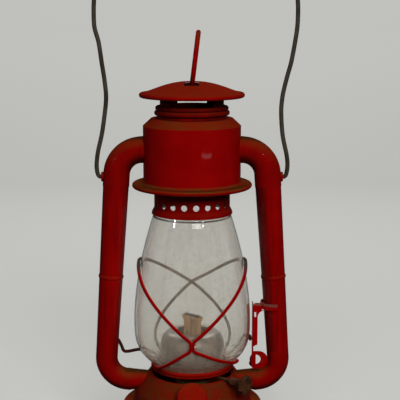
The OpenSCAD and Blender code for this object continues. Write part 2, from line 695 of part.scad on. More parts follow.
// Wire from the guard to the left tube, with its end hooked behind the tube
module guide_wire() {
    hook_z = guide_hook_z;
    run_z = guide_run_z;
    a = axis_x(hook_z);
    route = [on_glass(110, wire_end_z), on_glass(104, wire_end_z + 4), [46, 7, run_z],
        [a - 15, 1, run_z + 0.3], [a - 11.4, 5.5, run_z + 4], [a - 7.9, 9.6, hook_z],
        [a - 2.4, 12, hook_z + 1], [a + 3.6, 11, hook_z + 1.4], [a + 7.8, 8.8, hook_z + 1.4]];
    color(enamel) mirror([1, 0, 0]) wire(smooth(route, 5), guard_wire);
}
lever_x = globe_belly_r + 2;
// Wire that ties the lift lever to the guard ring, round the back of the glass
module lift_arm() {
    arm_z = lift_arm_z;
    beside_lever = lever_x - guard_wire - wire_gap;
    color(enamel) wire(concat([for (k = [0:8]) let (t = k / 8)
        on_glass(112 - 8 * t, wire_end_z + (arm_z - wire_end_z) * sin(90 * t))],
        [[beside_lever, 8, arm_z], [beside_lever, 0, arm_z]]), guard_wire);
}
loop_z = lever_top_z + 2;
loop_h = lever_arm - 1;
loop_open = 140;
loop_start = 60;
loop_lean = globe_lift * tan(splay) / 2;
loop_r = tube_r(loop_z + globe_lift + loop_h) + loop_lean + slide_gap;
module lift_loop() {
    color(enamel) translate([axis_x(loop_z) - loop_lean, 0, loop_z - loop_h]) rotate([0, 0, loop_start])
        rotate_extrude(angle = 360 - loop_open) translate([loop_r, 0]) square([sheet, loop_h]);
}
module lift_lever() {
    front_y = -lever_depth / 2;
    grip_top = lever_z + 2 * lever_grip_r;
    flange_z = grip_top + 4;
    grip_c = [lever_x + lever_grip_r * 0.7, lever_z + lever_grip_r];
    arm_end = axis_x(loop_z) - loop_lean
        - sqrt(pow(loop_r + sheet, 2) - pow(lever_depth / 2 - sheet, 2)) - 3 * fit;
    slot = [1.5, 4.4];
    slot_drop = 6;
    grip_wall = 2.9;
    grip_hole = 4.2;
    arm_low = loop_z - lever_arm;
    knee = 6;
    color(enamel) {
        translate([lever_x, front_y, lever_z + 1]) cube([sheet, lever_depth, lever_top_z - lever_z - 1]);
        translate([lever_x, front_y + sheet, 0]) rotate([90, 0, 0]) linear_extrude(sheet) difference() {
            polygon(concat([[0, flange_z], [lever_flange, flange_z + 2]],
                arc([lever_flange + knee, arm_low - knee], knee, 180, 90, 6),
                [[arm_end - lever_x, arm_low], [arm_end - lever_x, loop_z], [2, loop_z], [0, lever_top_z]]));
            translate([(lever_flange - slot.x) / 2, lever_top_z - slot_drop - slot.y]) square(slot);
        }
        translate([0, front_y + sheet, 0]) rotate([90, 0, 0]) linear_extrude(sheet) difference() {
            union() {
                translate(grip_c) circle(lever_grip_r);
                translate([lever_x, lever_z]) square([grip_c.x - lever_x, 2 * lever_grip_r]);
            }
            intersection() {
                translate([lever_x + grip_wall, grip_c.y + 0.5]) circle(grip_hole);
                translate([lever_x + grip_wall, lever_z]) square(2 * lever_grip_r);
            }
        }
        translate([0, front_y, 0]) rotate([90, 0, 0]) mirror([0, 0, 1]) linear_extrude(lever_depth / 2)
            polygon([[lever_x + fit, lever_z + 1], [lever_x + fit, lever_z + 7],
                [lever_x - 2.6, lever_z + 3.4]]);
    }
}

// Burner: the wick stands across the lantern, and the shaft runs beside it
wick_gap = 0.3;
tube_in = [wick_w, wick_t] + 2 * slide_gap * [1, 1];
tube_out = tube_in + sheet * [1, 1];
shaft_side = -(wick_t / 2 + wick_gap + sprocket_r);
collar_floor = chamber_floor_z + sheet;
screw_r = burner_r - sheet - 2 * fit;
module on_burner() { rotate([0, 0, shaft_turn]) children(); }
module on_shaft(s) { on_burner() translate([s, shaft_side, shaft_z]) rotate([0, 90, 0]) children(); }
module burner_collar() {
    bore = screw_r + fit;
    low = chamber_floor_z - 3;
    seat = collar_floor + fit;
    color(aged_brass) turned([[bore, low], [bore + sheet / 2, low], [bore + sheet / 2, seat],
        [burner_r + 4, seat], [burner_r + 4, seat + sheet], [bore, seat + sheet]]);
}
module burner_body() {
    seat = collar_floor + sheet + 2 * fit;
    tin = sheet * 0.6;
    color(aged_brass) difference() {
        turned(bent([[screw_r, chamber_floor_z - 3], [screw_r, seat + 1], [burner_r + 2, seat + 1],
            [burner_r + 2, seat + 3], [burner_r, seat + 5], [burner_r, gallery_z - fit]], tin));
        on_shaft(-2 * burner_r) cylinder(h = 4 * burner_r, r = shaft_r + running_gap);
    }
}
module burner_gallery() {
    vents = 24;
    vent_r = 1.6;
    out_r = plate_hole_r + 1.8;
    color(aged_brass) difference() {
        turned([[tube_out.x / 2 + 1, gallery_z], [out_r, gallery_z], [out_r, gallery_z + sheet],
            [tube_out.x / 2 + 1, gallery_z + sheet]]);
        for (k = [0:vents - 1]) rotate([0, 0, k * 360 / vents])
            translate([(burner_r + cone_r) / 2, 0, gallery_z - sheet]) cylinder(h = 3 * sheet, r = vent_r);
    }
}
module burner_cone() {
    steps = 12;
    low = gallery_z + sheet + fit;
    side = 14;
    rise = cone_h - side;
    squareness = 0.66;
    tin = sheet * 0.6;
    holes = 24;
    outline = concat([[cone_r, low]], [for (k = [0:steps]) let (a = 90 * k / steps)
        [cone_mouth + (cone_r - cone_mouth) * pow(cos(a), squareness),
        low + side + rise * pow(sin(a), squareness)]]);
    color(aged_brass) difference() {
        turned(bent(outline, tin));
        for (k = [0:holes - 1]) rotate([0, 0, (k + 0.5) * 360 / holes])
            translate([cone_r - 3 * tin, 0, low + side / 2]) rotate([0, 90, 0])
                cylinder(h = 5 * tin, r = cone_hole_r);
    }
}
module wick_tube() {
    window = [wick_w - 2, 2 * sprocket_r + 3];
    lip = 1.2;
    color(aged_brass) on_burner() difference() {
        union() {
            translate([0, 0, chamber_floor_z]) linear_extrude(wick_tube_z - chamber_floor_z)
                polygon(stadium(tube_out.x, tube_out.y));
            translate([0, 0, wick_tube_z - 2 * lip]) linear_extrude(lip)
                polygon(stadium(tube_out.x + lip, tube_out.y + lip));
            translate([0, 0, gallery_z + fit]) linear_extrude(sheet) circle(tube_out.x / 2 + 1 - fit);
        }
        translate([0, 0, chamber_floor_z - 1]) linear_extrude(wick_tube_z - chamber_floor_z + 2)
            polygon(stadium(tube_in.x, tube_in.y));
        translate([-window.x / 2, -tube_out.x, shaft_z - window.y / 2])
            cube([window.x, tube_out.x, window.y]);
    }
}
module wick() {
    color(cotton) on_burner() translate([0, 0, wick_low_z])
        linear_extrude(wick_tube_z + wick_show - wick_low_z) polygon(stadium(wick_w, wick_t));
}
bushing_wall = 0.25;
bushing_s = sqrt(burner_r * burner_r - shaft_side * shaft_side) + 0.8;
bushing_l = 4;
module wick_bushing() {
    color(aged_brass) on_shaft(bushing_s) difference() {
        cylinder(h = bushing_l, r = shaft_r + running_gap + bushing_wall);
        translate([0, 0, -1]) cylinder(h = bushing_l + 2, r = shaft_r + running_gap);
    }
}
module wick_shaft() {
    color(rusty) on_shaft(-burner_r) cylinder(h = knob_out + burner_r - 0.5, r = shaft_r);
}
module wick_sprockets() {
    teeth = 8;
    t = 0.8;
    color(rusty) for (s = [-1, 0, 1]) on_shaft(s * wick_w / 4 - t / 2) linear_extrude(t) difference() {
        polygon([for (k = [0:2 * teeth - 1]) let (a = 180 * k / teeth, r = sprocket_r - (k % 2) * 0.9)
            r * [cos(a), sin(a)]]);
        circle(shaft_r + fit);
    }
}
module wick_knob() {
    grip_r = 0.9;
    edge = 0.7;
    color(rusty) on_shaft(knob_out - knob_t) difference() {
        turned([[shaft_r + fit, -hub_l], [hub_r - edge, -hub_l], [hub_r, edge - hub_l], [hub_r, 0],
            [knob_r - edge, 0], [knob_r, edge], [knob_r, knob_t - edge], [knob_r - edge, knob_t],
            [knob_r - 2.5, knob_t], [knob_r - 3.3, knob_t - 1.2], [shaft_r + fit, knob_t - 1.2]]);
        for (k = [0:knob_grips - 1]) rotate([0, 0, k * 360 / knob_grips]) translate([knob_r + 0.3, 0, -1])
            cylinder(h = knob_t + 2, r = grip_r);
    }
}

fount_body();
fount_bottom();
fount_dome();
air_chamber();
filler_neck();
burner_collar();
burner_body();
burner_gallery();
burner_cone();
wick_tube();
wick_bushing();
lower_elbow_left();
lower_elbow_right();
side_tube_left();
side_tube_right();
upper_elbow_left();
upper_elbow_right();
bail_ears();
canopy_drum();
canopy_brim();
hood_spring();
globe();
globe_plate();
guard_ring();
guard_wire_left();
guard_wire_right();
guide_wire();
lift_arm();
lift_lever();
lift_loop();
globe_collar();
chimney_tube();
hood_throat();
hood_straps();
hood_cap();
lifting_ring();
bail();
wick_shaft();
wick_sprockets();
wick_knob();
wick();
cap_gasket();
filler_cap();
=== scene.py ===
# %% [markdown]
# A kerosene lantern in red enamel.
# The pressed sheet metal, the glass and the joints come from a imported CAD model, which stays exactly where
# it is. This lesson gives that model its looks: enamel with rust and dirt, old glass, dull brass, bare wire
# and a used wick. Pieces that a CAD solid shows too plainly are modelled again here, in the same place and
# at the same size.

# %% Load the frame
import json
import math

import bmesh
import bpy
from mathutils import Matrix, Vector


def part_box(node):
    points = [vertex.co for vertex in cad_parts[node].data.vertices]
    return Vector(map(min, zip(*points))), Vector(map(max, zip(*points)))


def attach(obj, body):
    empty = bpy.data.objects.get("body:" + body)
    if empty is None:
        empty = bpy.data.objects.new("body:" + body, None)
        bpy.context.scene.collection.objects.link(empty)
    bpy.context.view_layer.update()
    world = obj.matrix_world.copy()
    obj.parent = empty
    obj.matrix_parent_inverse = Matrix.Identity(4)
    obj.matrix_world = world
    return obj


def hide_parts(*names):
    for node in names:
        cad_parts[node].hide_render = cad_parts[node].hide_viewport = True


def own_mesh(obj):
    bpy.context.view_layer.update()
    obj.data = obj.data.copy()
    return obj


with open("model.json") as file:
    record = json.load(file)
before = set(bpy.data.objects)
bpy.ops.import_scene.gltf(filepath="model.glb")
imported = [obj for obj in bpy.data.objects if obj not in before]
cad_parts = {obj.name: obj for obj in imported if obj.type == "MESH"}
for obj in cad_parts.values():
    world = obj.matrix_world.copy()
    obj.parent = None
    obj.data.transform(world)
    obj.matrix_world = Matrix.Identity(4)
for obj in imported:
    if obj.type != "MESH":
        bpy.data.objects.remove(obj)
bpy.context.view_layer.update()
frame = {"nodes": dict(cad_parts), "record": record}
cad_nodes = frame["nodes"]
scene = bpy.context.scene
MM = 0.001

# %% [markdown]
# The camera repeats the photograph's view: a long lens, a little above the lantern and tilted down.
# Its focal length in pixels was found from the ellipses of the brim and the hood, which look rounder the
# further below the lens they lie.

# %% Camera
IMAGE_PIXELS = 400
FOCAL_PIXELS = 973
SENSOR_MM = 36
CAMERA_AT = Vector((0.0066, -0.797, 0.354))
TILT_DOWN = math.radians(10.5)

lens = bpy.data.cameras.new("camera")
lens.sensor_width = SENSOR_MM
lens.lens = SENSOR_MM * FOCAL_PIXELS / IMAGE_PIXELS
camera = bpy.data.objects.new("camera", lens)
camera.location = CAMERA_AT
camera.rotation_euler = (math.pi / 2 - TILT_DOWN, 0, 0)
scene.collection.objects.link(camera)
scene.camera = camera
scene.view_settings.view_transform = "Standard"
print("camera lens in mm:", round(lens.lens, 1))

# %% [markdown]
# A finish is a material built from nodes. Writing nodes one by one is long, so a small class makes a node,
# feeds its sockets and hands back its output. All patterns are read at the object's own coordinates, which
# are metres in the lantern's frame, so that a grain of rust has a real size and stays on its piece when the
# piece moves.


# %% A helper that builds finishes
class Finish:
    """A material in the making: its methods add nodes and return an output to feed to the next."""

    def __init__(self, name):
        self.material = bpy.data.materials.new(name)
        self.material.use_nodes = True
        self.tree = self.material.node_tree
        self.shader = self.tree.nodes["Principled BSDF"]
        self.surface = self.tree.nodes["Material Output"].inputs["Surface"]
        place = self.add("TexCoord")
        self.place = place.outputs["Object"]
        self.facing = place.outputs["Normal"]

    def feed(self, socket, value):
        if isinstance(value, bpy.types.NodeSocket):
            self.tree.links.new(value, socket)
        else:
            socket.default_value = value

    def add(self, kind, inputs=None, **settings):
        node = self.tree.nodes.new("ShaderNode" + kind)
        for key, value in settings.items():
            setattr(node, key, value)
        for key, value in (inputs or {}).items():
            self.feed(node.inputs[key], value)
        return node

    def noise(self, scale, detail=4.0, rough=0.55, stretch=None):
        where = self.place
        if stretch:
            where = self.add("Mapping", {"Vector": where, "Scale": stretch}).outputs[0]
        values = {"Vector": where, "Scale": scale, "Detail": detail, "Roughness": rough}
        return self.add("TexNoise", values).outputs["Fac"]

    def cells(self, scale):
        return self.add("TexVoronoi", {"Vector": self.place, "Scale": scale}).outputs["Distance"]

    def ramp(self, value, low, high, to_low=0.0, to_high=1.0):
        values = {"Value": value, "From Min": low, "From Max": high, "To Min": to_low, "To Max": to_high}
        return self.add("MapRange", values, interpolation_type="SMOOTHSTEP").outputs["Result"]

    def math(self, operation, a, b=0.0):
        return self.add("Math", {0: a, 1: b}, operation=operation, use_clamp=True).outputs[0]

    def times(self, a, b):
        return self.math("MULTIPLY", a, b)

    def total(self, first, *others):
        """The sum of some values, which never passes 1."""
        for value in others:
            first = self.math("ADD", first, value)
        return first

    def mix(self, share, a, b):
        return self.add("Mix", {0: share, 6: a, 7: b}, data_type="RGBA").outputs[2]

    def axis(self, vector, name):
        return self.add("SeparateXYZ", {0: vector}).outputs[name]

    def dot(self, a, b):
        return self.add("VectorMath", {0: a, 1: b}, operation="DOT_PRODUCT").outputs["Value"]

    def looks_in(self, start, end):
        """How far a face looks at the lantern's upright middle line: 0 at the start, 1 at the end."""
        flat = self.add("VectorMath", {0: self.place, 1: (1, 1, 0)}, operation="MULTIPLY").outputs[0]
        return self.ramp(self.dot(self.facing, flat), -start, -end)

    def band(self, value, middle, half, soft):
        """1 within half of the middle, falling to 0 over the soft width on either side."""
        rising = self.ramp(value, middle - half - soft, middle - half)
        return self.times(rising, self.ramp(value, middle + half + soft, middle + half))

    def bump(self, height, strength, distance, normal=None):
        values = {"Height": height, "Strength": strength, "Distance": distance}
        if normal:
            values["Normal"] = normal
        return self.add("Bump", values).outputs[0]

    def set(self, **values):
        for key, value in values.items():
            self.feed(self.shader.inputs[key.replace("_", " ")], value)
        return self.material


def rgb(red, green, blue):
    return (red, green, blue, 1.0)


print("finish helper ready")

# %% [markdown]
# The stage is a pale sheet that lies on the floor and sweeps up behind the lantern, so that no edge shows.
# It is hidden from diffuse and mirrored light, because a white floor that shines back would wash out the
# dark edges that deep red enamel shows in a dim room. The paper glows a little by itself, so that it stays
# pale from every side without one more lamp that would light the lantern too.

# %% Stage
FLOOR_Z = -0.2 * MM
FLOOR_FRONT = -4.0
FLOOR_BACK = 1.3
SWEEP_R = 0.5
SWEEP_STEPS = 16
WALL_TOP = 3.0
STAGE_HALF = 5.0
WALL_SHADE_Z = 0.4
FLOOR_GREY = rgb(0.20, 0.20, 0.19)
WALL_GREY = rgb(0.30, 0.30, 0.29)
PAPER_GLOW = rgb(1.0, 1.0, 0.96)
GLOW_STRENGTH = 0.34


def pale_paper():
    finish = Finish("pale_paper")
    upright = finish.ramp(finish.axis(finish.place, "Z"), 0.0, WALL_SHADE_Z)
    shade = finish.mix(upright, FLOOR_GREY, WALL_GREY)
    return finish.set(Base_Color=shade, Roughness=0.8, Specular_IOR_Level=0.1,
                      Emission_Color=PAPER_GLOW, Emission_Strength=GLOW_STRENGTH)


def sweep_outline():
    """The stage from the side: floor, a quarter circle, and wall, as y and z."""
    bend = [(FLOOR_BACK + SWEEP_R * math.sin(a), FLOOR_Z + SWEEP_R * (1 - math.cos(a)))
            for a in (math.pi / 2 * k / SWEEP_STEPS for k in range(SWEEP_STEPS + 1))]
    return [(FLOOR_FRONT, FLOOR_Z)] + bend + [(FLOOR_BACK + SWEEP_R, WALL_TOP)]


outline = sweep_outline()
points = [(side * STAGE_HALF, y, z) for y, z in outline for side in (-1, 1)]
strips = [(2 * i, 2 * i + 1, 2 * i + 3, 2 * i + 2) for i in range(len(outline) - 1)]
stage_mesh = bpy.data.meshes.new("stage")
stage_mesh.from_pydata(points, [], strips)
stage_mesh.materials.append(pale_paper())
stage_mesh.shade_smooth()
stage = bpy.data.objects.new("stage", stage_mesh)
stage.visible_diffuse = False
stage.visible_glossy = False
scene.collection.objects.link(stage)
print("stage strips:", len(strips))

# %% [markdown]
# The room is the colour of the world, in two versions. The one that lights the lantern is nearly black, for
# the sake of the enamel's dark edges. The one that is seen, straight on or through the glass, is as pale as
# the paper. The kind of ray picks between them.

# %% Room
ROOM_DIM = rgb(0.035, 0.035, 0.035)
ROOM_PALE = rgb(0.50, 0.50, 0.485)


def dim_room():
    """A world that is dim as a light, but pale where it is seen."""
    world = bpy.data.worlds.new("room")
    world.use_nodes = True
    tree = world.node_tree
    dim = tree.nodes["Background"]
    dim.inputs["Color"].default_value = ROOM_DIM
    pale = tree.nodes.new("ShaderNodeBackground")
    pale.inputs["Color"].default_value = ROOM_PALE
    ray = tree.nodes.new("ShaderNodeLightPath")
    seen = tree.nodes.new("ShaderNodeMath")
    seen.operation = "MAXIMUM"
    mix = tree.nodes.new("ShaderNodeMixShader")
    tree.links.new(ray.outputs["Is Camera Ray"], seen.inputs[0])
    tree.links.new(ray.outputs["Is Transmission Ray"], seen.inputs[1])
    tree.links.new(seen.outputs[0], mix.inputs[0])
    tree.links.new(dim.outputs[0], mix.inputs[1])
    tree.links.new(pale.outputs[0], mix.inputs[2])
    tree.links.new(mix.outputs[0], tree.nodes["World Output"].inputs["Surface"])
    return world


scene.world = dim_room()
print("room:", scene.world.name)

# %% [markdown]
# One wide soft lamp in front, a little to the right and not high, does most of the lighting: it leaves the
# left edge of the drum and the inner side of the right tube dark. A lamp behind keeps the back from going
# black, and another lights the paper alone, so that it stays even. Three small lamps only make bright
# spots: two on the glass, and one on the drum alone. The two wide lamps on the lantern are kept out of
# reflections, because the glass would show them as white sheets.


# %% Lights
def lamp(name, at, aim, size, power):
    data = bpy.data.lights.new(name, "AREA")
    data.shape = "RECTANGLE"
    data.size, data.size_y = size
    data.energy = power
    light = bpy.data.objects.new(name, data)
    light.location = at
    light.rotation_euler = (Vector(aim) - Vector(at)).to_track_quat("-Z", "Y").to_euler()
    scene.collection.objects.link(light)
    return light


def lights_only(light, piece):
    """Keep a lamp's light on one piece."""
    light.light_linking.receiver_collection = bpy.data.collections.new(light.name + "_target")
    light.light_linking.receiver_collection.objects.link(piece)


MIDDLE = (0, 0, 0.2)
soft_front = lamp("soft_front", at=(0.42, -1.66, 1.24), aim=MIDDLE, size=(0.9, 0.7), power=26)
soft_back = lamp("soft_back", at=(0, 1.2, 1.1), aim=MIDDLE, size=(1.2, 0.6), power=12)
for light in (soft_front, soft_back):
    light.visible_glossy = False
paper_wash = lamp("paper_wash", at=(0, -2.2, 2.0), aim=(0, 2.2, 1.3), size=(3.0, 1.5), power=84)
lights_only(paper_wash, stage)
GLINT = {"size": (0.13, 0.03), "power": 0.5}
lamp("glint_left", at=(-0.93, -0.68, 0.61), aim=(-0.016, -0.033, 0.190), **GLINT)
lamp("glint_right", at=(0.65, -0.93, 0.66), aim=(0.011, -0.034, 0.187), **GLINT)
drum_spot = lamp("drum_spot", at=(0.58, -0.85, 0.11), aim=(0.013, -0.038, 0.245),
                 size=(0.42, 0.006), power=0.05)
lights_only(drum_spot, cad_nodes["canopy_drum"])

# %% [markdown]
# Red enamel is glossy paint over steel. On this old lantern it is deep red where a hand has kept it clean,
# and brown or olive where dust has settled on faces that look up. The direction that a face looks in gives
# the mask for the dust, and noise breaks its edge up. Faces that look at the flame's middle line are
# darkened, with soot inside the lantern and with painted shade on the tubes and elbows outside it.
# Undersides get painted shade, small chips show rust, and a fine bump keeps the gloss alive. One function
# makes all the enamels, because they differ only in how much of each they have.

# %% Red enamel
CLEAN_RED = rgb(0.278, 0.0003, 0.0003)
WORN_RED = rgb(0.330, 0.0012, 0.0007)
DARK_RED = rgb(0.122, 0.0022, 0.0012)
DUST_BROWN = rgb(0.215, 0.0170, 0.0040)
DUST_OLIVE = rgb(0.130, 0.0420, 0.0060)
# Soot inside the lantern, also used as painted shade on undersides, tubes, elbows and the lever's strip
SOOT_AND_SHADE = rgb(0.030, 0.0035, 0.0030)
RUST = rgb(0.090, 0.0300, 0.0120)
GRIME = rgb(0.034, 0.0170, 0.0040)


def red_enamel(name, dust=1.0, olive=0.35, chips=0.5, soot_and_shade=0.0, dark=0.0, streaks=0.0, slope=0.80,
               speckle=0.68, inward=(0.0, 10 * MM), crust=0.0, painted_under_shade=0.0, polish=0.02):
    """Old enamel, with a share for each kind of soiling and wear, and for painted shade.

    Dust is thickest on faces that look up by the slope or more, chips start at the speckle level of their
    noise, and soot and painted shade come where faces look inward by that range. Crust is grime on top, and
    the under share is painted shade below.
    """
    finish = Finish(name)
    cloud = finish.noise(scale=34.0, detail=5.0, rough=0.6)
    patch = finish.noise(scale=75.0, detail=6.0, rough=0.65)
    grain = finish.noise(scale=520.0, detail=3.0)
    upward = finish.axis(finish.facing, "Z")
    # The paint: two reds in clouds, darker in patches and along upright runs
    red = finish.mix(finish.ramp(cloud, 0.35, 0.70), CLEAN_RED, WORN_RED)
    red = finish.mix(finish.times(finish.ramp(patch, 0.30, 0.60, 0.45, 1.0), dark), red, DARK_RED)
    runs = finish.ramp(finish.noise(scale=230.0, rough=0.6, stretch=(1, 1, 0.05)), 0.42, 0.72)
    red = finish.mix(finish.times(runs, streaks), red, DARK_RED)
    # Dust on faces that look up, with a broken edge
    settled = finish.ramp(upward, 0.15, slope)
    broken = finish.total(finish.times(cloud, 0.75), finish.times(grain, 0.35))
    dusty = finish.times(finish.times(settled, finish.ramp(broken, 0.25, 0.62, 0.35, 1.0)), dust)
    film = finish.mix(finish.times(finish.ramp(patch, 0.38, 0.66), olive), DUST_BROWN, DUST_OLIVE)
    colour = finish.mix(dusty, red, film)
    # Grime on level tops; painted shade on undersides; soot and painted shade on faces that look at the
    # flame
    grime = finish.times(finish.ramp(upward, 0.70, 0.97), finish.ramp(patch, 0.3, 0.5, 0.6, 1.0))
    colour = finish.mix(finish.times(grime, crust), colour, GRIME)
    colour = finish.mix(finish.times(finish.ramp(upward, -0.10, -0.65), painted_under_shade), colour, SOOT_AND_SHADE)
    colour = finish.mix(finish.times(finish.looks_in(*inward), soot_and_shade), colour, SOOT_AND_SHADE)
    # Chips down to the rust
    rusting = finish.noise(scale=210.0, detail=6.0, rough=0.7)
    chipped = finish.times(finish.ramp(rusting, speckle, speckle + 0.08), chips)
    colour = finish.mix(chipped, colour, RUST)
    # Gloss where the paint is clean, and a bump that is lower in the chips
    dull = finish.math("MAXIMUM", dusty, chipped)
    rough = finish.ramp(dull, 0.0, 1.0, 0.36, 0.80)
    gloss = finish.ramp(dull, 0.0, 0.6, 0.15, 0.0)
    skin = finish.bump(finish.noise(scale=130.0, detail=3.0), 0.08, 0.4 * MM)
    flakes = finish.bump(finish.math("SUBTRACT", grain, chipped), 0.12, 0.15 * MM, skin)
    return finish.set(Base_Color=colour, Roughness=rough, Normal=flakes, Specular_IOR_Level=0.03,
                      Coat_Weight=gloss, Coat_Roughness=polish)


enamel = red_enamel("red_enamel", soot_and_shade=0.85)
print("enamel nodes:", len(enamel.node_tree.nodes))

# %% [markdown]
# The pieces share that paint, but not its dirt, so most of them get an enamel of their own. The tank and
# the elbows are the dirtiest, and the brim catches the dust. The tubes are darker on the side of the flame:
# painted shade, which the photograph shows further round on the right tube than on the left one.

# %% Enamel of the pieces
enamel_drum = red_enamel("red_enamel_drum", soot_and_shade=0.85, polish=0.035)
TUBE_WEAR = {"dust": 0.8, "chips": 0.4, "streaks": 0.70}
# The flame side of each tube is painted dark as shade, further round on the right tube.
enamel_tube_left = red_enamel("red_enamel_tube_left", soot_and_shade=0.70, inward=(20 * MM, 66 * MM), **TUBE_WEAR)
enamel_tube_right = red_enamel("red_enamel_tube_right", soot_and_shade=0.66, inward=(-6 * MM, 34 * MM), **TUBE_WEAR)
enamel_brim = red_enamel("red_enamel_brim", dust=1.2, olive=1.0, chips=0.3, dark=0.3, slope=0.5,
                         crust=0.35)
# The collar's darker red stands partly for the brim's shadow: painted shade. Its inside gets soot.
enamel_collar = red_enamel("red_enamel_collar", dust=0.25, chips=0.7, soot_and_shade=0.85, dark=0.50,
                           speckle=0.60)
enamel_fount = red_enamel("red_enamel_fount", dust=0.75, olive=1.0, chips=0.8, dark=1.0, streaks=0.3,
                          speckle=0.54)
# The elbows: painted shade underneath, and soot and painted shade on the side toward the flame.
enamel_elbow = red_enamel("red_enamel_elbow", dust=0.95, olive=0.5, chips=0.8, soot_and_shade=0.6, dark=0.25,
                          streaks=0.3, speckle=0.62, inward=(15 * MM, 60 * MM), crust=0.9, painted_under_shade=0.75)
# Throat, straps and chimney: painted shade underneath, soot inside, and a darker red all over.
enamel_throat = red_enamel("red_enamel_throat", dust=0.4, chips=0.5, soot_and_shade=0.9, dark=1.0, painted_under_shade=0.6)
enamel_hood = red_enamel("red_enamel_hood", dust=0.8, olive=0.1, chips=0.4, soot_and_shade=0.9)
enamel_cap = red_enamel("red_enamel_cap", dust=0.7, olive=0.5, chips=0.3, slope=0.98)
print("enamels:", [m.name for m in bpy.data.materials if m.name.startswith("red_enamel_")])

# %% [markdown]
# The guard wires and the lift lever are enamelled too, but they rub. The wires have gone brown at their
# highest places and at the back, where nobody wipes them. The lever is pale where it hooks on the tube, from
# wear and from a painted highlight on the loop's top, and its strip next to the glass is painted dark as
# shade.
# The wires that tie the guard to the tube and the lever are brown all over. All are the same paint with one
# more layer, given by where a point lies on the lantern, and the lever has a second one for its shade.

# %% Rubbed enamel
WIRE_BROWN = rgb(0.052, 0.042, 0.033)
# Wear on the lever's hook, and a painted highlight on the loop's top
LEVER_BARE_AND_HIGHLIGHT = rgb(0.185, 0.080, 0.062)
TIE_BROWN = rgb(0.038, 0.0110, 0.0080)
BEHIND_Y = (-4 * MM, 9 * MM)
HIGH_BEND_Z = (145 * MM, 153 * MM)
HOOK_PALE_STARTS = 3.0 * MM
HOOK_FULLY_PALE = 1.2 * MM
WEB_WIDTH = 1.8 * MM
WEB_SOFT = 0.4 * MM


def rubbed_enamel(name, worn_share, rubbed, bare, shaded=None):
    """Enamel that goes bare where one function of the finish says, and painted shade where a second says."""
    finish = Finish(name)
    patch = finish.noise(scale=160.0, detail=6.0, rough=0.7)
    red = finish.mix(finish.ramp(patch, 0.35, 0.70), CLEAN_RED, WORN_RED)
    flecks = finish.times(finish.ramp(patch, 0.60, 0.72), worn_share)
    bare_by_place = finish.times(rubbed(finish), finish.ramp(patch, 0.28, 0.50, 0.6, 1.0))
    bare_share = finish.math("MAXIMUM", flecks, bare_by_place)
    colour = finish.mix(bare_share, red, bare)
    if shaded:
        colour = finish.mix(shaded(finish), colour, SOOT_AND_SHADE)
    rough = finish.ramp(bare_share, 0.0, 1.0, 0.35, 0.75)
    height = finish.math("SUBTRACT", patch, bare_share)
    return finish.set(Base_Color=colour, Roughness=rough, Normal=finish.bump(height, 0.25, 0.15 * MM),
                      Specular_IOR_Level=0.04)


def back_and_top(finish):
    """The half of a guard wire behind the glass, and its highest bend."""
    behind = finish.ramp(finish.axis(finish.place, "Y"), *BEHIND_Y)
    high = finish.ramp(finish.axis(finish.place, "Z"), *HIGH_BEND_Z)
    return finish.math("MAXIMUM", behind, high)


def lever_hook_wear_and_highlight(finish):
    """The top edge of the loop that hooks the lever on the tube, pale from wear and from a painted
    highlight.
    """
    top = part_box("lift_loop")[1].z
    height = finish.axis(finish.place, "Z")
    return finish.ramp(height, top - HOOK_PALE_STARTS, top - HOOK_FULLY_PALE, 0.0, 0.8)


def lever_web_shade(finish):
    """Painted shade: the strip of the lever next to the glass, darkened."""
    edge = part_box("lift_lever")[0].x + WEB_WIDTH
    return finish.ramp(finish.axis(finish.place, "X"), edge + WEB_SOFT, edge - WEB_SOFT, 0.0, 0.85)


def everywhere(finish):
    """The whole piece."""
    return 1.0


enamel_wire = rubbed_enamel("red_enamel_wire", 0.5, back_and_top, WIRE_BROWN)
enamel_lever = rubbed_enamel("red_enamel_lever", 1.0, lever_hook_wear_and_highlight, LEVER_BARE_AND_HIGHLIGHT, lever_web_shade)
enamel_tie = rubbed_enamel("red_enamel_tie", 1.0, everywhere, TIE_BROWN)
print("rubbed enamels:", enamel_wire.name, enamel_lever.name, enamel_tie.name)

# %% [markdown]
# The bail and the spring are bare steel wire that has gone dull and brownish. The knob, its shaft and the
# sprockets have rusted through. The burner is brass: tan where it is clean, and a sooty brown grey on its
# dome. The tube round the wick has a seam down its broad side, so its direction is needed here.

# %% Bare wire, rust and brass
STEEL_GREY = rgb(0.130, 0.116, 0.085)
STEEL_BROWN = rgb(0.075, 0.058, 0.036)
RUST_DARK = rgb(0.030, 0.010, 0.005)
RUST_LIGHT = rgb(0.105, 0.036, 0.014)
SEAM_BROWN = rgb(0.030, 0.016, 0.008)
WICK_TURN = math.radians(-38)
WICK_ACROSS = (math.cos(WICK_TURN), math.sin(WICK_TURN), 0)


def bare_wire():
    finish = Finish("bare_wire")
    patches = finish.noise(scale=60.0, detail=5.0, rough=0.65)
    drawn = finish.noise(scale=300.0, detail=2.0, rough=0.5, stretch=(1, 1, 0.1))
    colour = finish.mix(finish.ramp(patches, 0.35, 0.68), STEEL_GREY, STEEL_BROWN)
    rough = finish.ramp(drawn, 0.2, 0.8, 0.35, 0.60)
    return finish.set(Base_Color=colour, Metallic=0.5, Roughness=rough,
                      Normal=finish.bump(drawn, 0.15, 0.1 * MM))


def rusty_steel():
    finish = Finish("rusty_steel")
    patches = finish.noise(scale=170.0, detail=6.0, rough=0.7)
    pits = finish.cells(scale=900.0)
    colour = finish.mix(finish.ramp(patches, 0.30, 0.68), RUST_DARK, RUST_LIGHT)
    height = finish.total(finish.times(patches, 0.8), finish.times(pits, 0.5))
    return finish.set(Base_Color=colour, Roughness=0.88, Normal=finish.bump(height, 0.8, 0.5 * MM))


